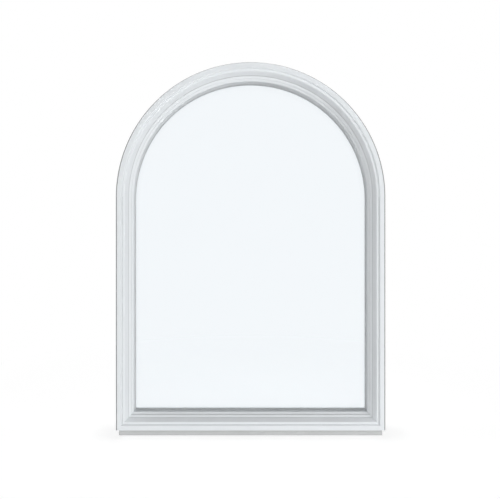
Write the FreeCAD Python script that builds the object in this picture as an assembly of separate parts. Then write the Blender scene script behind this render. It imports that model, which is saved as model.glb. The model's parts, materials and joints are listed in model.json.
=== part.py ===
"""Fixed arch-top window: white vinyl frame, snap-on face trim, glazing beads and a sealed double pane.

Millimetres, +Z up, front towards -Y, origin under the middle of the sub-sill.
A section is a list of corners (across, back, radius): across runs from the outside of the frame
towards the glass, back runs from the front face of the trim towards the room.
"""
import FreeCAD
import Part
import math
import os
from FreeCAD import Vector

# Frame outline
FRAME_WIDTH = 901.7  # over the jambs, also the diameter of the half-round head
LEG_HEIGHT = 781.05  # underside of the frame to the spring line
SEAT_CUT = 1.4  # planed off the bottom edge, so that the frame stands flat on the sub-sill

# Face trim and the tongue that holds it in the frame
TRIM_FACE = 17.5  # outside of the frame to the head of the trim's inner step
TRIM_BEVEL_RUN = 4.4
TRIM_BEVEL_DEPTH = 2.5
TRIM_STEP_RUN = 3.0
TRIM_DEPTH = 26.0
TRIM_WALL = 2.5
TONGUE_INSET = 7.0
TONGUE_WIDTH = 3.0
TONGUE_LENGTH = 6.0
SNAP_CLEARANCE = 0.3

# Frame section
FRAME_WALL = 2.8
NOSE_SETBACK = 5.0
NOSE_FACE = 7.3
NOSE_CHAMFER = 1.2
SPLAY_RUN = 9.65
SPLAY_DEPTH = 17.0
WEB_BACK = 58.0  # middle of the web between the two wide chambers
LEG_REACH = 9.0
LEG_THICKNESS = 5.9
LEG_CHAMFER = 2.5
KERF_INSET = 17.5
KERF_WIDTH = 3.0
KERF_DEPTH = 4.0

# Glazing bead
BEAD_OUTER_FACE = 7.0
BEAD_OUTER_FALL = 5.0
BEAD_STEP = 2.5
BEAD_STEP_RUN = 1.0
BEAD_INNER_FACE = 6.15
BEAD_INNER_FALL = 5.0
BEAD_REVEAL = 18.5
BEAD_UNDERCUT = 0.5  # how far the reveal leans back under the crest
BEAD_EDGE_CHAMFER = 1.2
BEAD_WALL = 1.8
BEAD_HOOK_DEPTH = 3.3
BEAD_HOOK_WIDTH = 3.0
BEAD_HOOK_SETBACK = 11.0

# Sealed double pane and its gaskets
PANE_THICKNESS = 4.0
CAVITY = 12.0
EDGE_CLEARANCE = 3.25
SEAL_WIDTH = 2.5
SPACER_HEIGHT = 5.5
FRONT_GASKET_THICKNESS = 7.0
BACK_GASKET_THICKNESS = 3.0
GASKET_SEAT = 8.0
GASKET_LIP = 1.0
BLOCK_LENGTH = 100.0
BLOCK_OFFSET = 210.0

# Sub-sill
SUB_SILL_HEIGHT = 25.4
SUB_SILL_SETBACK = 20.5
SUB_SILL_INSET = 4.5
SUB_SILL_NOSE = 2.0
SUB_SILL_NOSE_HEIGHT = 12.0
SUB_SILL_NOSE_SLOPE = 2.0
SUB_SILL_EDGE_RADIUS = 1.5
SUB_SILL_WALL = 2.5
CAP_THICKNESS = 6.0
CAP_CORNER_RADIUS = 5.0

# Screw holes through the jambs
FIXING_RADIUS = 3.0
FIXING_END_DISTANCE = 150.0

# Lines across the section, from the outside of the frame
NOSE_OUTER = TRIM_FACE + TRIM_STEP_RUN
NOSE_INNER = NOSE_OUTER + NOSE_FACE
REBATE = NOSE_INNER + SPLAY_RUN
LEG_EDGE = REBATE + LEG_REACH
BEAD_RIDGE = REBATE + BEAD_OUTER_FACE
BEAD_STEP_FOOT = BEAD_RIDGE + BEAD_STEP_RUN
BEAD_CREST = BEAD_STEP_FOOT + BEAD_INNER_FACE
BEAD_EDGE = BEAD_CREST - BEAD_UNDERCUT
GLASS_EDGE = REBATE + EDGE_CLEARANCE
SPACER_OUTER = GLASS_EDGE + SEAL_WIDTH
SPACER_INNER = SPACER_OUTER + SPACER_HEIGHT

# Planes back from the face of the trim
SPLAY_FOOT = NOSE_SETBACK + SPLAY_DEPTH
RIDGE_BACK = SPLAY_FOOT + BEAD_OUTER_FALL
STEP_BACK = RIDGE_BACK + BEAD_STEP
CREST_BACK = STEP_BACK + BEAD_INNER_FALL
BEAD_BACK = CREST_BACK + BEAD_REVEAL
GLASS_FRONT = BEAD_BACK + FRONT_GASKET_THICKNESS
CAVITY_FRONT = GLASS_FRONT + PANE_THICKNESS
CAVITY_BACK = CAVITY_FRONT + CAVITY
GLASS_BACK = CAVITY_BACK + PANE_THICKNESS
LEG_FRONT = GLASS_BACK + BACK_GASKET_THICKNESS
FRAME_DEPTH = LEG_FRONT + LEG_THICKNESS
GROOVE_END = TRIM_DEPTH + TONGUE_LENGTH + SNAP_CLEARANCE
SLOT_FRONT = SPLAY_FOOT + BEAD_HOOK_SETBACK - SNAP_CLEARANCE
SLOT_BACK = SPLAY_FOOT + BEAD_HOOK_SETBACK + BEAD_HOOK_WIDTH + SNAP_CLEARANCE

HALF_WIDTH = FRAME_WIDTH / 2
HALF_DEPTH = FRAME_DEPTH / 2
FRAME_BOTTOM = SUB_SILL_HEIGHT
OUTLINE_BOTTOM = FRAME_BOTTOM - SEAT_CUT  # where the sections start, below the planed edge
SPRING_Z = FRAME_BOTTOM + LEG_HEIGHT
MITRE_REACH = 2 * LEG_EDGE + 2 * BEAD_EDGE
SPAN = 2 * FRAME_DEPTH


def rounded_wire(corners, place):
    """Closed wire through the corners, each one rounded by its radius as far as its sides allow."""
    edges = []
    points = []
    for index, (across, back, radius) in enumerate(corners):
        corner = Vector(across, back, 0)
        before = Vector(*corners[index - 1][:2], 0) - corner
        after = Vector(*corners[(index + 1) % len(corners)][:2], 0) - corner
        if radius == 0:
            points.append((corner, None, corner))
            continue
        half_angle = before.getAngle(after) / 2
        tangent = min(radius / math.tan(half_angle), 0.45 * min(before.Length, after.Length))
        inward = (before.normalize() + after.normalize()).normalize()
        fitted = tangent * math.tan(half_angle)
        middle = corner + inward * (fitted / math.sin(half_angle) - fitted)
        points.append((corner + before * tangent, middle, corner + after * tangent))
    for index, (start, middle, end) in enumerate(points):
        if middle is not None:
            edges.append(Part.Arc(*[place(p.x, p.y) for p in (start, middle, end)]).toShape())
        following = points[(index + 1) % len(points)][0]
        edges.append(Part.makeLine(place(end.x, end.y), place(following.x, following.y)))
    return Part.Wire(edges)


def section(corners, chambers, place):
    """Face of a section with its hollow chambers left out."""
    wires = [rounded_wire(outline, place) for outline in (corners, *chambers)]
    return Part.makeFace(wires, "Part::FaceMakerBullseye")


def mitre_cutter(side, far_corner):
    """Wedge on one side of the mitre plane through a bottom corner of the outline."""
    x = side * HALF_WIDTH
    reach = side * MITRE_REACH
    outline = [
        Vector(x + reach, -SPAN, OUTLINE_BOTTOM - MITRE_REACH),
        Vector(x - reach, -SPAN, OUTLINE_BOTTOM + MITRE_REACH),
        Vector(x + reach * far_corner, -SPAN, OUTLINE_BOTTOM + MITRE_REACH * far_corner),
    ]
    return Part.Face(Part.makePolygon(outline + outline[:1])).extrude(Vector(0, 2 * SPAN, 0))


def below_seat():
    """What is planed off the bottom edge of the frame and its trim."""
    corner = Vector(-FRAME_WIDTH, -SPAN, OUTLINE_BOTTOM - MITRE_REACH)
    return Part.makeBox(2 * FRAME_WIDTH, 2 * SPAN, MITRE_REACH + SEAT_CUT, corner)


def jamb(corners, chambers, side):
    def place(across, back):
        return Vector(side * (HALF_WIDTH - across), back - HALF_DEPTH, SPRING_Z)

    bar = section(corners, chambers, place).extrude(Vector(0, 0, -LEG_HEIGHT - MITRE_REACH / 2))
    return bar.cut(mitre_cutter(side, -1)).cut(below_seat())


def arch(corners, chambers):
    def place(across, back):
        return Vector(HALF_WIDTH - across, back - HALF_DEPTH, SPRING_Z)

    return section(corners, chambers, place).revolve(Vector(0, 0, SPRING_Z), Vector(0, -1, 0), 180)


def sill(corners, chambers):
    start = -HALF_WIDTH - MITRE_REACH / 2

    def place(across, back):
        return Vector(start, back - HALF_DEPTH, OUTLINE_BOTTOM + across)

    bar = section(corners, chambers, place).extrude(Vector(-2 * start, 0, 0))
    return bar.cut(mitre_cutter(-1, 1)).cut(mitre_cutter(1, 1)).cut(below_seat())


def run_round(name, corners, chambers=(), sill_chambers=()):
    """The four lengths of one extrusion: bent head, two jambs and sill."""
    return {
        name + "_arch": arch(corners, chambers),
        name + "_left_jamb": jamb(corners, chambers, -1),
        name + "_right_jamb": jamb(corners, chambers, 1),
        name + "_sill": sill(corners, sill_chambers),
    }


def loop(corners):
    """One continuous strip round the whole opening."""
    head, *rest = run_round("strip", corners).values()
    return head.fuse(rest).removeSplitter()


def arched_face(across, back):
    """Upright face with the frame's own outline, set in from the outside of the frame."""
    radius = HALF_WIDTH - across
    y = back - HALF_DEPTH
    bottom_left = Vector(-radius, y, OUTLINE_BOTTOM + across)
    bottom_right = Vector(radius, y, OUTLINE_BOTTOM + across)
    spring_right = Vector(radius, y, SPRING_Z)
    spring_left = Vector(-radius, y, SPRING_Z)
    head = Part.Arc(spring_right, Vector(0, y, SPRING_Z + radius), spring_left).toShape()
    sides = [
        Part.makeLine(bottom_left, bottom_right),
        Part.makeLine(bottom_right, spring_right),
        head,
        Part.makeLine(spring_left, bottom_left),
    ]
    return Part.Face(Part.Wire(sides))


def arched_slab(across, back, thickness):
    return arched_face(across, back).extrude(Vector(0, thickness, 0))


def trim_section():
    tongue_end = TRIM_DEPTH + TONGUE_LENGTH
    return [
        (0, TRIM_BEVEL_DEPTH, 0),
        (TRIM_BEVEL_RUN, 0, 0),
        (TRIM_FACE, 0, 0),
        (NOSE_OUTER, NOSE_SETBACK, 0),
        (NOSE_OUTER, TRIM_DEPTH, 0),
        (TONGUE_INSET + TONGUE_WIDTH, TRIM_DEPTH, 0),
        (TONGUE_INSET + TONGUE_WIDTH, tongue_end, 0),
        (TONGUE_INSET, tongue_end, 0),
        (TONGUE_INSET, TRIM_DEPTH, 0),
        (0, TRIM_DEPTH, 0),
    ]


def trim_chambers(edge):
    """The one chamber of the trim, a wall in from its outside edge."""
    outer = edge + TRIM_WALL
    inner = NOSE_OUTER - TRIM_WALL
    back = TRIM_DEPTH - TRIM_WALL
    return [[
        (TRIM_BEVEL_RUN + TRIM_WALL / 2, TRIM_WALL, 0),
        (TRIM_FACE - TRIM_WALL / 2, TRIM_WALL, 0),
        (inner, back, 0),
        (outer, back, 0),
    ]]


def frame_section():
    groove_outer = TONGUE_INSET - SNAP_CLEARANCE
    groove_inner = TONGUE_INSET + TONGUE_WIDTH + SNAP_CLEARANCE
    slot_depth = REBATE - BEAD_HOOK_DEPTH - SNAP_CLEARANCE
    return [
        (0, TRIM_DEPTH, 0),
        (groove_outer, TRIM_DEPTH, 0),
        (groove_outer, GROOVE_END, 0),
        (groove_inner, GROOVE_END, 0),
        (groove_inner, TRIM_DEPTH, 0),
        (NOSE_OUTER, TRIM_DEPTH, 0),
        (NOSE_OUTER, NOSE_SETBACK, 0),
        (NOSE_INNER - NOSE_CHAMFER, NOSE_SETBACK, 0),
        (NOSE_INNER + NOSE_CHAMFER * SPLAY_RUN / SPLAY_DEPTH, NOSE_SETBACK + NOSE_CHAMFER, 0),
        (REBATE, SPLAY_FOOT, 0),
        (REBATE, SLOT_FRONT, 0),
        (slot_depth, SLOT_FRONT, 0),
        (slot_depth, SLOT_BACK, 0),
        (REBATE, SLOT_BACK, 0),
        (REBATE, LEG_FRONT, 0),
        (LEG_EDGE, LEG_FRONT, 0),
        (LEG_EDGE, FRAME_DEPTH - LEG_CHAMFER, 0),
        (LEG_EDGE - LEG_CHAMFER, FRAME_DEPTH, 0),
        (KERF_INSET + KERF_WIDTH, FRAME_DEPTH, 0),
        (KERF_INSET + KERF_WIDTH, FRAME_DEPTH - KERF_DEPTH, 0),
        (KERF_INSET, FRAME_DEPTH - KERF_DEPTH, 0),
        (KERF_INSET, FRAME_DEPTH, 0),
        (0, FRAME_DEPTH, 0),
    ]


def oblong(outer, inner, front, back):
    return [(outer, front, 0), (inner, front, 0), (inner, back, 0), (outer, back, 0)]


def frame_chambers(edge):
    """Nose chamber behind the splay, and two wide ones from the outside edge to the rebate."""
    outer = edge + FRAME_WALL
    splay_wall = FRAME_WALL * math.hypot(SPLAY_RUN, SPLAY_DEPTH) / SPLAY_DEPTH
    nose_front = NOSE_SETBACK + FRAME_WALL
    nose_back = SLOT_FRONT - FRAME_WALL
    web_inner = NOSE_OUTER + FRAME_WALL
    rebate_wall = REBATE - splay_wall
    nose_corner = rebate_wall - (SPLAY_FOOT - nose_front) * SPLAY_RUN / SPLAY_DEPTH
    front = max(GROOVE_END, SLOT_BACK) + FRAME_WALL
    back = FRAME_DEPTH - KERF_DEPTH - FRAME_WALL
    nose = [
        (web_inner, nose_front, 0),
        (nose_corner, nose_front, 0),
        (rebate_wall, SPLAY_FOOT, 0),
        (rebate_wall, nose_back, 0),
        (web_inner, nose_back, 0),
    ]
    return [
        nose,
        oblong(outer, rebate_wall, front, WEB_BACK - FRAME_WALL / 2),
        oblong(outer, rebate_wall, WEB_BACK + FRAME_WALL / 2, back),
    ]


def bead_section():
    hook_tip = REBATE - BEAD_HOOK_DEPTH
    hook_front = SPLAY_FOOT + BEAD_HOOK_SETBACK
    hook_back = hook_front + BEAD_HOOK_WIDTH
    crest_slope = BEAD_INNER_FALL / BEAD_INNER_FACE
    reveal_slope = BEAD_UNDERCUT / BEAD_REVEAL
    return [
        (REBATE, SPLAY_FOOT, 0),
        (BEAD_RIDGE, RIDGE_BACK, 0),
        (BEAD_STEP_FOOT, STEP_BACK, 0),
        (BEAD_CREST - BEAD_EDGE_CHAMFER, CREST_BACK - BEAD_EDGE_CHAMFER * crest_slope, 0),
        (BEAD_CREST - BEAD_EDGE_CHAMFER * reveal_slope, CREST_BACK + BEAD_EDGE_CHAMFER, 0),
        (BEAD_EDGE, BEAD_BACK, 0),
        (REBATE, BEAD_BACK, 0),
        (REBATE, hook_back, 0),
        (hook_tip, hook_back, 0),
        (hook_tip, hook_front + BEAD_HOOK_WIDTH / 2, 0),
        (REBATE, hook_front, 0),
    ]


def bead_chambers():
    inner = BEAD_EDGE - BEAD_WALL
    return [oblong(REBATE + BEAD_WALL, inner, CREST_BACK + BEAD_WALL, BEAD_BACK - BEAD_WALL)]


def front_gasket():
    return loop([
        (BEAD_EDGE - GASKET_SEAT, BEAD_BACK, 0),
        (BEAD_EDGE, BEAD_BACK, 0),
        (BEAD_EDGE + GASKET_LIP, GLASS_FRONT, 0),
        (BEAD_EDGE - GASKET_SEAT, GLASS_FRONT, 0),
    ])


def back_gasket():
    return loop([
        (LEG_EDGE - GASKET_SEAT, GLASS_BACK, 0),
        (LEG_EDGE + GASKET_LIP, GLASS_BACK, 0),
        (LEG_EDGE, LEG_FRONT, 0),
        (LEG_EDGE - GASKET_SEAT, LEG_FRONT, 0),
    ])


def arched_ring(outer, inner, back, thickness):
    hole = arched_slab(inner, back - thickness, 3 * thickness)
    return arched_slab(outer, back, thickness).cut(hole)


def setting_blocks():
    """Two blocks on the rebate of the sill that carry the edge of the double pane."""
    blocks = []
    for x in (-BLOCK_OFFSET, BLOCK_OFFSET):
        corner = Vector(x - BLOCK_LENGTH / 2, GLASS_FRONT - HALF_DEPTH, OUTLINE_BOTTOM + REBATE)
        blocks.append(Part.makeBox(BLOCK_LENGTH, GLASS_BACK - GLASS_FRONT, EDGE_CLEARANCE, corner))
    return Part.makeCompound(blocks)


def with_fixing_holes(bar):
    """Frame jamb with its screw holes, drilled through the rebate behind the edge of the pane."""
    y = (GLASS_FRONT + GLASS_BACK) / 2 - HALF_DEPTH
    for z in (FRAME_BOTTOM + FIXING_END_DISTANCE, SPRING_Z - FIXING_END_DISTANCE):
        drill = Part.makeCylinder(FIXING_RADIUS, FRAME_WIDTH * 2, Vector(-FRAME_WIDTH, y, z), Vector(1, 0, 0))
        bar = bar.cut(drill)
    return bar


def sub_sill_bar(start, end, chambers=()):
    """Length of the sub-sill section between two places along the window."""
    upper_face = SUB_SILL_SETBACK + SUB_SILL_NOSE
    corners = [
        (upper_face, SUB_SILL_HEIGHT, 0),
        (upper_face, SUB_SILL_NOSE_HEIGHT + SUB_SILL_NOSE_SLOPE, 0),
        (SUB_SILL_SETBACK, SUB_SILL_NOSE_HEIGHT, 0),
        (SUB_SILL_SETBACK, 0, SUB_SILL_EDGE_RADIUS),
        (FRAME_DEPTH, 0, SUB_SILL_EDGE_RADIUS),
        (FRAME_DEPTH, SUB_SILL_HEIGHT, 0),
    ]

    def place(back, height):
        return Vector(start, back - HALF_DEPTH, height)

    return section(corners, chambers, place).extrude(Vector(end - start, 0, 0))


def sub_sill_chambers():
    front = SUB_SILL_SETBACK + SUB_SILL_NOSE + SUB_SILL_WALL
    back = FRAME_DEPTH - SUB_SILL_WALL
    web = (front + back) / 2
    top = SUB_SILL_HEIGHT - SUB_SILL_WALL
    return [
        oblong(front, web - SUB_SILL_WALL / 2, SUB_SILL_WALL, top),
        oblong(web + SUB_SILL_WALL / 2, back, SUB_SILL_WALL, top),
    ]


def sub_sill_cap(side):
    """End cap of the sub-sill, with its lower outside corner rounded."""
    outside = HALF_WIDTH - SUB_SILL_INSET
    inside = outside - CAP_THICKNESS
    outline = [
        (inside, 0, 0),
        (outside, 0, CAP_CORNER_RADIUS),
        (outside, SUB_SILL_HEIGHT, 0),
        (inside, SUB_SILL_HEIGHT, 0),
    ]

    def place(x, z):
        return Vector(side * x, -SPAN, z)

    envelope = section(outline, (), place).extrude(Vector(0, 2 * SPAN, 0))
    return sub_sill_bar(side * inside, side * outside).common(envelope)


def build():
    frame = run_round("frame", frame_section(), frame_chambers(0), frame_chambers(SEAT_CUT))
    for jamb_name in ("frame_left_jamb", "frame_right_jamb"):
        frame[jamb_name] = with_fixing_holes(frame[jamb_name])
    cap_inside = HALF_WIDTH - SUB_SILL_INSET - CAP_THICKNESS
    return {
        **frame,
        **run_round("trim", trim_section(), trim_chambers(0), trim_chambers(SEAT_CUT)),
        **run_round("bead", bead_section(), bead_chambers(), bead_chambers()),
        "front_gasket": front_gasket(),
        "back_gasket": back_gasket(),
        "front_pane": arched_slab(GLASS_EDGE, GLASS_FRONT, PANE_THICKNESS),
        "back_pane": arched_slab(GLASS_EDGE, CAVITY_BACK, PANE_THICKNESS),
        "spacer_bar": arched_ring(SPACER_OUTER, SPACER_INNER, CAVITY_FRONT, CAVITY),
        "edge_seal": arched_ring(GLASS_EDGE, SPACER_OUTER, CAVITY_FRONT, CAVITY),
        "setting_blocks": setting_blocks(),
        "sub_sill": sub_sill_bar(-cap_inside, cap_inside, sub_sill_chambers()),
        "sub_sill_cap_left": sub_sill_cap(-1),
        "sub_sill_cap_right": sub_sill_cap(1),
    }


os.makedirs("parts", exist_ok=True)
for node, shape in build().items():
    shape.exportStep(f"parts/{node}.step")
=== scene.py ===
import bpy
import json
import math
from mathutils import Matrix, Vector


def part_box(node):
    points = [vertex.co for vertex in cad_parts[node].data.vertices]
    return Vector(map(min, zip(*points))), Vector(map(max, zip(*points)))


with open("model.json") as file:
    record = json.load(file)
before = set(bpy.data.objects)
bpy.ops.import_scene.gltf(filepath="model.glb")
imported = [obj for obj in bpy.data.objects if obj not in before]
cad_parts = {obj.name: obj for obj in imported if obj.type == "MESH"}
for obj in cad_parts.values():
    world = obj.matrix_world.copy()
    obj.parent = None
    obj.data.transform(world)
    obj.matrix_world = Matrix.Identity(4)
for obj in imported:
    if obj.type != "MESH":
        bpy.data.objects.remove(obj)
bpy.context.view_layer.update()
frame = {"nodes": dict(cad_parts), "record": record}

# Places read from the window itself, in metres
HALF_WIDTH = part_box("frame_arch")[1].x
SPRING_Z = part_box("frame_arch")[0].z
FRAME_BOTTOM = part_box("frame_sill")[0].z
FACE_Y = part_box("trim_arch")[0].y
GLASS_EDGE = HALF_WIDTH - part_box("front_pane")[1].x
OUTLINE_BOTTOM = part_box("front_pane")[0].z - GLASS_EDGE
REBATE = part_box("setting_blocks")[0].z - OUTLINE_BOTTOM
TRIM_JOINT = HALF_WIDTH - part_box("trim_right_jamb")[0].x
SPACER_MIDDLE = (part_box("spacer_bar")[0].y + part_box("spacer_bar")[1].y) / 2
EDGE_DEPTH = 0.0025  # how far the outer edge of the trim lies behind its face

# The photograph: an image 500 pixels wide and 499 high, in which the frame stands between these lines
IMAGE_WIDTH = 500
IMAGE_HEIGHT = 499
FRAME_LEFT_PX = 115.9
FRAME_RIGHT_PX = 385.35
FRAME_BOTTOM_PX = 430.33
CAMERA_DISTANCE = 1.4  # to the face of the trim
EDGE_DISTANCE = CAMERA_DISTANCE + EDGE_DEPTH
EYE_ASIDE = -0.015  # from the middle of the picture to the camera, whose lens is shifted to suit
EYE_UP = 0.007
SENSOR_WIDTH = 36.0
PIXEL = 2 * HALF_WIDTH / (FRAME_RIGHT_PX - FRAME_LEFT_PX)  # in metres, at the outer edge
PICTURE_WIDTH = IMAGE_WIDTH * PIXEL

# Studio
WHITE = (1, 1, 1, 1)
WORLD_LIGHT = 0.2  # what the white surround gives as light, where 1 is how it looks
FLOOR_SIZE = 40
FLOOR_NEAR = 0.6  # the floor keeps its shadows up to here
FLOOR_FAR = 1.6  # and is plain white from here on
FLOOR_GLOW = 0.758  # brings the floor up to white where nothing shades it
FLOOR_PALE = (0.92, 0.92, 0.92, 1)
FLOOR_SHADED = (0.42, 0.42, 0.42, 1)
WINDOW_MIDDLE = (0, 0, 0.65)
LOWER_MIDDLE = (0, 0, 0.5)

PLASTIC_IOR = 1.5  # of the vinyl, rubber, sealant and blocks alike


class Value:
    """A number that a shader works out: arithmetic on it adds Math nodes to its finish."""

    def __init__(self, finish, socket):
        self.finish = finish
        self.socket = socket

    def __add__(self, other):
        return self.finish.math("ADD", self, other)

    def __sub__(self, other):
        return self.finish.math("SUBTRACT", self, other)

    def __rsub__(self, other):
        return self.finish.math("SUBTRACT", other, self)

    def __mul__(self, other):
        return self.finish.math("MULTIPLY", self, other)

    def __truediv__(self, other):
        return self.finish.math("DIVIDE", self, other)

    def __lt__(self, other):
        return self.finish.math("LESS_THAN", self, other)

    def __abs__(self):
        return self.finish.math("ABSOLUTE", self)

    __radd__ = __add__
    __rmul__ = __mul__


class Finish:
    """A node tree being written: node() adds any node, and the Values it gives can be reckoned with."""

    def __init__(self, tree):
        self.tree = tree
        self.tree.nodes.clear()

    def node(self, kind, settings=None, sockets=None):
        """Sockets go by identifier or number. A Value is linked, and anything else is set on the socket."""
        made = self.tree.nodes.new(kind)
        for name, setting in (settings or {}).items():
            setattr(made, name, setting)
        inputs = {socket.identifier: socket for socket in made.inputs}
        inputs.update(enumerate(made.inputs))
        for name, value in (sockets or {}).items():
            if isinstance(value, Value):
                self.tree.links.new(value.socket, inputs[name])
            else:
                inputs[name].default_value = value
        return {output.identifier: Value(self, output) for output in made.outputs}

    def math(self, operation, *operands):
        return self.node("ShaderNodeMath", {"operation": operation}, dict(enumerate(operands)))["Value"]

    def place(self):
        """Object coordinates of the point that is shaded, as three Values."""
        point = self.node("ShaderNodeTexCoord")["Object"]
        split = self.node("ShaderNodeSeparateXYZ", sockets={"Vector": point})
        return split["X"], split["Y"], split["Z"]

    def noise(self, x, y, z, scale, detail=2.0):
        point = self.node("ShaderNodeCombineXYZ", sockets={"X": x, "Y": y, "Z": z})["Vector"]
        sockets = {"Vector": point, "Scale": scale, "Detail": detail}
        return self.node("ShaderNodeTexNoise", sockets=sockets)["Fac"]

    def mix_colours(self, share, first, second):
        sockets = {"Factor_Float": share, "A_Color": first, "B_Color": second}
        return self.node("ShaderNodeMix", {"data_type": "RGBA"}, sockets)["Result_Color"]

    def mix_shaders(self, share, first, second):
        return self.node("ShaderNodeMixShader", sockets={0: share, 1: first, 2: second})["Shader"]

    def line(self, distance, half_width):
        """1 on a line, falling to 0 at half_width to each side of it."""
        return self.math("MAXIMUM", 1 - abs(distance) / half_width, 0.0)

    def bump(self, height, depth):
        """Normal of a surface whose height, from 0 to 1, stands for depth metres."""
        return self.node("ShaderNodeBump", sockets={"Height": height, "Distance": depth})["Normal"]

    def show(self, shader):
        self.node("ShaderNodeOutputMaterial", sockets={"Surface": shader})

    def surface(self, sockets):
        self.show(self.node("ShaderNodeBsdfPrincipled", sockets=sockets)["BSDF"])


def new_finish(name):
    material = bpy.data.materials.new(name)
    material.use_nodes = True
    return material, Finish(material.node_tree)


def height_above_spring(finish, z):
    return finish.math("MAXIMUM", z - SPRING_Z, 0.0)


def insets(finish, x, z):
    """How far a point lies in from the sides and head of the frame, and from its bottom edge."""
    above_spring = height_above_spring(finish, z)
    from_centre = finish.math("SQRT", x * x + above_spring * above_spring)
    return HALF_WIDTH - from_centre, z - OUTLINE_BOTTOM


# White vinyl: colours, then the lines on it, partly painted shade, with how far back from the face each one
# goes
VINYL_DULL = (0.765, 0.795, 0.818, 1)
VINYL_BRIGHT = (0.802, 0.829, 0.850, 1)
DIE_LINE_GREY = (0.69, 0.715, 0.735, 1)
# The grey of the joint lines and of the painted shade laid over them
JOINT_AND_SHADE_GREY = (0.42, 0.43, 0.44, 1)
# The grey of the painted shade on the trim's outer edge
EDGE_SHADE_GREY = (0.25, 0.255, 0.26, 1)
WELD_HALF_WIDTH = 0.0006
# Dark joint lines, widened into painted shade that is darker on the jambs and changes up the head
TRIM_JOINT_HALF_WIDTH = 0.0012
TRIM_JOINT_BACK = FACE_Y + 0.009
TRIM_JOINT_SHADE = 0.4
TRIM_JOINT_CROWN_FADE = 0.25  # how much fainter the trim joint's painted shade is at the crown
TRIM_JOINT_JAMB_SHADE = 0.5  # how much darker its painted shade is on the jambs
BEAD_JOINT_HALF_WIDTH = 0.0013
BEAD_JOINT_BACK = FACE_Y + 0.024
BEAD_JOINT_SHADE = 0.5
BEAD_JOINT_CROWN_SHADE = 0.35  # how much darker the bead joint's painted shade is at the crown
SILL_STEP_SHADE_LINE = REBATE + 0.0068  # where painted shade lies along the bead's step on the sill
SILL_STEP_SHADE_HALF_WIDTH = 0.002
SILL_STEP_SHADE_BACK = FACE_Y + 0.04
SILL_STEP_SHADE_DARKNESS = 0.35
SILL_STEP_SHADE_PATCHES = 0.5
EDGE_SHADE_WIDTH = 0.0041  # width of the grey band of painted shade on the trim's outer edge
EDGE_SHADE_BACK = FACE_Y + EDGE_DEPTH
EDGE_SHADE_TAPER = 0.75  # share of that width which is lost on the way to the crown, where the painted shade gives way to light


def white_vinyl():
    """Extruded vinyl: die lines along each length, welded mitres, fine dark joint lines widened with
    painted shade, painted shade along the bead's step on the sill, and a grey band of painted shade on the
    trim's outer edge.
    """
    material, finish = new_finish("white_vinyl")
    x, y, z = finish.place()
    side_inset, sill_inset = insets(finish, x, z)
    across = finish.math("MINIMUM", side_inset, sill_inset)
    die_lines = finish.noise(across, y, 0.0, scale=650.0, detail=3.0)
    cloud = finish.noise(x, y, z, scale=7.0, detail=3.0)
    grain = finish.noise(x, y, z, scale=1400.0)
    on_jamb = (z < SPRING_Z) * (side_inset < sill_inset)
    up_the_head = height_above_spring(finish, z) / HALF_WIDTH

    weld = finish.line(side_inset - sill_inset, WELD_HALF_WIDTH)
    # Real joint lines, made wider and darker as painted shade, more on the jambs and changing up the head
    trim_joint_painted_shade = TRIM_JOINT_SHADE - TRIM_JOINT_CROWN_FADE * up_the_head + TRIM_JOINT_JAMB_SHADE * on_jamb
    trim_line = finish.line(across - TRIM_JOINT, TRIM_JOINT_HALF_WIDTH) * (y < TRIM_JOINT_BACK)
    bead_joint_painted_shade = BEAD_JOINT_SHADE + BEAD_JOINT_CROWN_SHADE * up_the_head
    bead_line = finish.line(across - REBATE, BEAD_JOINT_HALF_WIDTH) * (y < BEAD_JOINT_BACK)
    joint_lines_and_shade = finish.math("MAXIMUM", trim_line * trim_joint_painted_shade, bead_line * bead_joint_painted_shade)
    # Painted shade in patches along the bead's step on the sill
    on_sill_bead = (sill_inset < side_inset) * (y < SILL_STEP_SHADE_BACK)
    sill_step_shade_strength = SILL_STEP_SHADE_DARKNESS + SILL_STEP_SHADE_PATCHES * cloud
    sill_step_painted_shade = finish.line(sill_inset - SILL_STEP_SHADE_LINE, SILL_STEP_SHADE_HALF_WIDTH) * on_sill_bead * sill_step_shade_strength
    # Painted shade on the trim's outer edge, a grey band that narrows towards the crown
    painted_edge_width = EDGE_SHADE_WIDTH * (1 - EDGE_SHADE_TAPER * up_the_head * up_the_head)
    painted_edge_shade = (side_inset < painted_edge_width) * (y < EDGE_SHADE_BACK)

    shade = finish.mix_colours(cloud, VINYL_DULL, VINYL_BRIGHT)
    streaked = finish.mix_colours(die_lines * 0.10, shade, DIE_LINE_GREY)
    # Joint lines, weld seams and painted shade, all darkened towards the joint grey
    dark_lines_and_shade = finish.math("MAXIMUM", joint_lines_and_shade + weld * 0.12, sill_step_painted_shade)
    jointed_and_shaded = finish.mix_colours(dark_lines_and_shade, streaked, JOINT_AND_SHADE_GREY)
    height = die_lines * 0.5 + grain * 0.14 - joint_lines_and_shade * 2.0 + weld * 0.6
    finish.surface({
        "Base Color": finish.mix_colours(painted_edge_shade, jointed_and_shaded, EDGE_SHADE_GREY),
        "Roughness": 0.34 + cloud * 0.1 + die_lines * 0.06,
        "IOR": PLASTIC_IOR,
        "Normal": finish.bump(height, depth=0.00006),
    })
    return material


# Sub-sill: its grey is partly the vinyl's own and partly painted shade under the frame's overhang
SILL_GREY_AND_SHADE = (0.545, 0.555, 0.555, 1)
SILL_PALE_AND_SHADE = (0.61, 0.62, 0.615, 1)
SILL_STREAK_GREY = (0.46, 0.465, 0.465, 1)
SILL_DUST_GREY = (0.46, 0.455, 0.44, 1)
DUSTY_FOOT = 0.004  # height up to which dust lies
SILL_STREAK_STRETCH = 0.02


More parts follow.
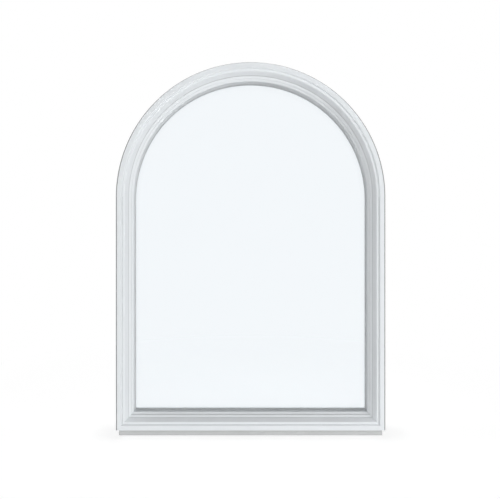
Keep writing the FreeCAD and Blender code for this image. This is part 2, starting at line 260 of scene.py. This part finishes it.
def sub_sill_vinyl():
    """Grey co-extruded vinyl, partly painted shade under the frame, with streaks along its length and dust
    along its foot.
    """
    material, finish = new_finish("sub_sill_vinyl")
    x, y, z = finish.place()
    streaks = finish.noise(x * SILL_STREAK_STRETCH, y, z, scale=900.0, detail=3.0)
    cloud = finish.noise(x, y, z, scale=24.0, detail=3.0)
    grain = finish.noise(x, y, z, scale=1600.0)
    foot = finish.line(z, DUSTY_FOOT)
    # Both greys are darkened in part as painted shade under the frame
    shade = finish.mix_colours(cloud, SILL_GREY_AND_SHADE, SILL_PALE_AND_SHADE)
    streaked = finish.mix_colours(streaks * 0.25, shade, SILL_STREAK_GREY)
    finish.surface({
        "Base Color": finish.mix_colours(foot * cloud * 0.5, streaked, SILL_DUST_GREY),
        "Roughness": 0.42 + cloud * 0.12,
        "IOR": PLASTIC_IOR,
        "Normal": finish.bump(streaks * 0.6 + grain * 0.2, depth=0.00008),
    })
    return material


# Gaskets
GASKET_GREY = (0.65, 0.665, 0.68, 1)
GASKET_PALE = (0.74, 0.755, 0.77, 1)
GASKET_BLOOM = (0.79, 0.80, 0.81, 1)


def grey_gasket():
    """Extruded rubber with fine ribs along the strip and a faint bloom."""
    material, finish = new_finish("grey_gasket")
    x, y, z = finish.place()
    side_inset, sill_inset = insets(finish, x, z)
    across = finish.math("MINIMUM", side_inset, sill_inset)
    ribs = finish.noise(across, y, 0.0, scale=1100.0)
    bloom = finish.noise(x, y, z, scale=45.0, detail=4.0)
    grain = finish.noise(x, y, z, scale=2600.0)
    shade = finish.mix_colours(ribs, GASKET_GREY, GASKET_PALE)
    finish.surface({
        "Base Color": finish.mix_colours(bloom * 0.3, shade, GASKET_BLOOM),
        "Roughness": 0.58 + bloom * 0.2,
        "IOR": PLASTIC_IOR,
        "Normal": finish.bump(ribs * 0.7 + grain * 0.3, depth=0.00012),
    })
    return material


# Spacer bar
ALUMINIUM_DULL = (0.38, 0.385, 0.39, 1)
ALUMINIUM_BRIGHT = (0.50, 0.505, 0.51, 1)
SLIT_BLACK = (0.03, 0.03, 0.03, 1)
SLIT_SPACING = 0.004
SLIT_HALF_LENGTH = 0.0008
SLIT_HALF_WIDTH = 0.0006
BRUSH_STRETCH = 0.03


def spacer_aluminium():
    """Roll-formed aluminium bar, brushed along its length, with breather slits facing the cavity."""
    material, finish = new_finish("spacer_aluminium")
    x, y, z = finish.place()
    side_inset, sill_inset = insets(finish, x, z)
    across = finish.math("MINIMUM", side_inset, sill_inset)
    turn = finish.math("ARCTAN2", height_above_spring(finish, z), x)
    along_head = turn * (HALF_WIDTH - GLASS_EDGE)
    on_sill = sill_inset < side_inset
    along = on_sill * x + (1 - on_sill) * (along_head + z * (z < SPRING_Z))
    brushed = finish.noise(across, y, along * BRUSH_STRETCH, scale=2400.0, detail=3.0)
    from_slit = finish.math("PINGPONG", along, SLIT_SPACING / 2)
    slits = finish.line(from_slit, SLIT_HALF_LENGTH) * finish.line(y - SPACER_MIDDLE, SLIT_HALF_WIDTH)
    bare = finish.mix_colours(brushed, ALUMINIUM_DULL, ALUMINIUM_BRIGHT)
    finish.surface({
        "Base Color": finish.mix_colours(slits, bare, SLIT_BLACK),
        "Metallic": 1 - slits,
        "Roughness": 0.3 + brushed * 0.2,
        "Normal": finish.bump(brushed * 0.3 - slits, depth=0.0001),
    })
    return material


# Edge seal
SEALANT_BLACK = (0.014, 0.014, 0.015, 1)
SEALANT_WORN = (0.035, 0.035, 0.036, 1)


def black_sealant():
    """Butyl edge seal with a tooled, slightly lumpy skin."""
    material, finish = new_finish("black_sealant")
    x, y, z = finish.place()
    lumps = finish.noise(x, y, z, scale=120.0, detail=3.0)
    skin = finish.noise(x, y, z, scale=1500.0)
    finish.surface({
        "Base Color": finish.mix_colours(lumps, SEALANT_BLACK, SEALANT_WORN),
        "Roughness": 0.45 + lumps * 0.3,
        "IOR": PLASTIC_IOR,
        "Normal": finish.bump(lumps + skin * 0.2, depth=0.0004),
    })
    return material


# Setting blocks
BLOCK_BLACK = (0.04, 0.04, 0.042, 1)
BLOCK_GREY = (0.07, 0.07, 0.072, 1)
BLOCK_RIB_WIDTH = 0.0025


def block_plastic():
    """Dark moulded blocks with a fine spark texture and cross ribs."""
    material, finish = new_finish("block_plastic")
    x, y, z = finish.place()
    spark = finish.noise(x, y, z, scale=1800.0)
    ribs = finish.math("PINGPONG", x, BLOCK_RIB_WIDTH) / BLOCK_RIB_WIDTH
    finish.surface({
        "Base Color": finish.mix_colours(spark, BLOCK_BLACK, BLOCK_GREY),
        "Roughness": 0.5 + spark * 0.2,
        "IOR": PLASTIC_IOR,
        "Normal": finish.bump(ribs + spark * 0.3, depth=0.0004),
    })
    return material


# Panes
GLASS_BLUE = (0.947, 0.966, 0.980, 1)
GLASS_CLEAR = (0.951, 0.970, 0.984, 1)
GLASS_SHADOW = (0.96, 0.98, 0.99, 1)
GLASS_IOR = 1.3  # below real glass, so that the panes mirror less of the white surround
WAVE_STRETCH = 0.3


def clear_glass():
    """Float glass, faintly blue and with a slow roller wave, that lets lamp light through."""
    material, finish = new_finish("clear_glass")
    x, y, z = finish.place()
    wave = finish.noise(x * WAVE_STRETCH, y, z, scale=6.0, detail=1.0)
    rays = finish.node("ShaderNodeLightPath")
    glass = finish.node("ShaderNodeBsdfPrincipled", sockets={
        "Base Color": finish.mix_colours(wave, GLASS_BLUE, GLASS_CLEAR),
        "Roughness": 0.0,
        "IOR": GLASS_IOR,
        "Transmission Weight": 1.0,
        "Normal": finish.bump(wave, depth=0.00002),
    })
    passed = finish.node("ShaderNodeBsdfTransparent", sockets={"Color": GLASS_SHADOW})
    finish.show(finish.mix_shaders(rays["Is Shadow Ray"], glass["BSDF"], passed["BSDF"]))
    return material


def dress_window():
    finishes = {
        "white_vinyl": white_vinyl(),
        "sub_sill_vinyl": sub_sill_vinyl(),
        "grey_gasket": grey_gasket(),
        "spacer_aluminium": spacer_aluminium(),
        "black_sealant": black_sealant(),
        "block_plastic": block_plastic(),
        "clear_glass": clear_glass(),
    }
    for part in frame["record"]["subparts"]:
        node = frame["nodes"][part["node"]]
        node.data.materials.clear()
        node.data.materials.append(finishes[part["material_slot"]])


def seen_rays(finish):
    """1 for rays that the eye follows, also by mirror or through glass, and 0 for all others."""
    rays = finish.node("ShaderNodeLightPath")
    seen = rays["Is Camera Ray"] + rays["Is Glossy Ray"] + rays["Is Transmission Ray"]
    return finish.math("MINIMUM", seen, 1.0)


def studio_world():
    world = bpy.data.worlds.new("studio")
    bpy.context.scene.world = world
    world.use_nodes = True
    finish = Finish(world.node_tree)
    seen = seen_rays(finish)
    strength = seen + (1 - seen) * WORLD_LIGHT
    light = finish.node("ShaderNodeBackground", sockets={"Color": WHITE, "Strength": strength})
    finish.node("ShaderNodeOutputWorld", sockets={"Surface": light["Background"]})


def studio_floor():
    """Pale floor that looks white where nothing shades it, and all white away from the window."""
    bpy.ops.object.select_all(action="DESELECT")
    bpy.ops.mesh.primitive_plane_add(size=FLOOR_SIZE)
    floor = bpy.context.object
    floor.name = "floor"
    material, finish = new_finish("floor")
    x, y, _ = finish.place()
    from_window = finish.math("SQRT", x * x + y * y)
    away = (from_window - FLOOR_NEAR) / (FLOOR_FAR - FLOOR_NEAR)
    away = finish.math("MINIMUM", finish.math("MAXIMUM", away, 0.0), 1.0)
    lit = finish.node("ShaderNodeBsdfDiffuse", sockets={"Color": FLOOR_PALE})
    shaded = finish.node("ShaderNodeBsdfDiffuse", sockets={"Color": FLOOR_SHADED})
    glow = finish.node("ShaderNodeEmission", sockets={"Color": WHITE, "Strength": FLOOR_GLOW})
    white = finish.node("ShaderNodeEmission", sockets={"Color": WHITE, "Strength": 1.0})
    near = finish.node("ShaderNodeAddShader", sockets={0: shaded["BSDF"], 1: glow["Emission"]})
    to_eye = finish.mix_shaders(away, near["Shader"], white["Emission"])
    finish.show(finish.mix_shaders(seen_rays(finish), lit["BSDF"], to_eye))
    floor.data.materials.append(material)


def soft_box(name, position, target, width, height, power, spread=180):
    lamp = bpy.data.lights.new(name, "AREA")
    lamp.shape = "RECTANGLE"
    lamp.size = width
    lamp.size_y = height
    lamp.energy = power
    lamp.spread = math.radians(spread)
    holder = bpy.data.objects.new(name, lamp)
    holder.location = position
    holder.rotation_euler = (Vector(target) - Vector(position)).to_track_quat("-Z", "Y").to_euler()
    holder.visible_camera = False
    holder.visible_glossy = False
    holder.visible_transmission = False
    bpy.context.scene.collection.objects.link(holder)


def camera():
    """Camera in front of the window, with the outer edges of the frame on the lines of the photograph."""
    lens = bpy.data.cameras.new("camera")
    lens.sensor_width = SENSOR_WIDTH
    lens.lens = SENSOR_WIDTH * EDGE_DISTANCE / PICTURE_WIDTH
    lens.shift_x = -EYE_ASIDE / PICTURE_WIDTH
    lens.shift_y = -EYE_UP / PICTURE_WIDTH
    middle_px = (FRAME_LEFT_PX + FRAME_RIGHT_PX) / 2
    x = (IMAGE_WIDTH / 2 - middle_px) * PIXEL
    z = FRAME_BOTTOM + (FRAME_BOTTOM_PX - IMAGE_HEIGHT / 2) * PIXEL
    holder = bpy.data.objects.new("camera", lens)
    holder.location = (x + EYE_ASIDE, FACE_Y - CAMERA_DISTANCE, z + EYE_UP)
    holder.rotation_euler = (math.pi / 2, 0, 0)
    bpy.context.scene.collection.objects.link(holder)
    bpy.context.scene.camera = holder


dress_window()
studio_world()
studio_floor()
soft_box("front", (0.0, -5.0, 0.25), LOWER_MIDDLE, width=3.0, height=0.5, power=85)
soft_box("key", (4.75, -3.7, 0.35), WINDOW_MIDDLE, width=1.6, height=0.7, power=146)
soft_box("fill", (-4.6, -3.9, 0.35), WINDOW_MIDDLE, width=1.6, height=0.7, power=26)
soft_box("back", (0.0, 9.0, 0.7), WINDOW_MIDDLE, width=1.0, height=1.0, power=42, spread=60)
soft_box("left", (-7.0, 0.0, 0.7), WINDOW_MIDDLE, width=0.5, height=0.5, power=20, spread=60)
soft_box("right", (7.0, 0.0, 0.7), WINDOW_MIDDLE, width=0.5, height=0.5, power=10, spread=60)
soft_box("top", (0.0, 0.0, 6.0), WINDOW_MIDDLE, width=0.5, height=0.5, power=88)
camera()
bpy.context.scene.view_settings.view_transform = "Standard"
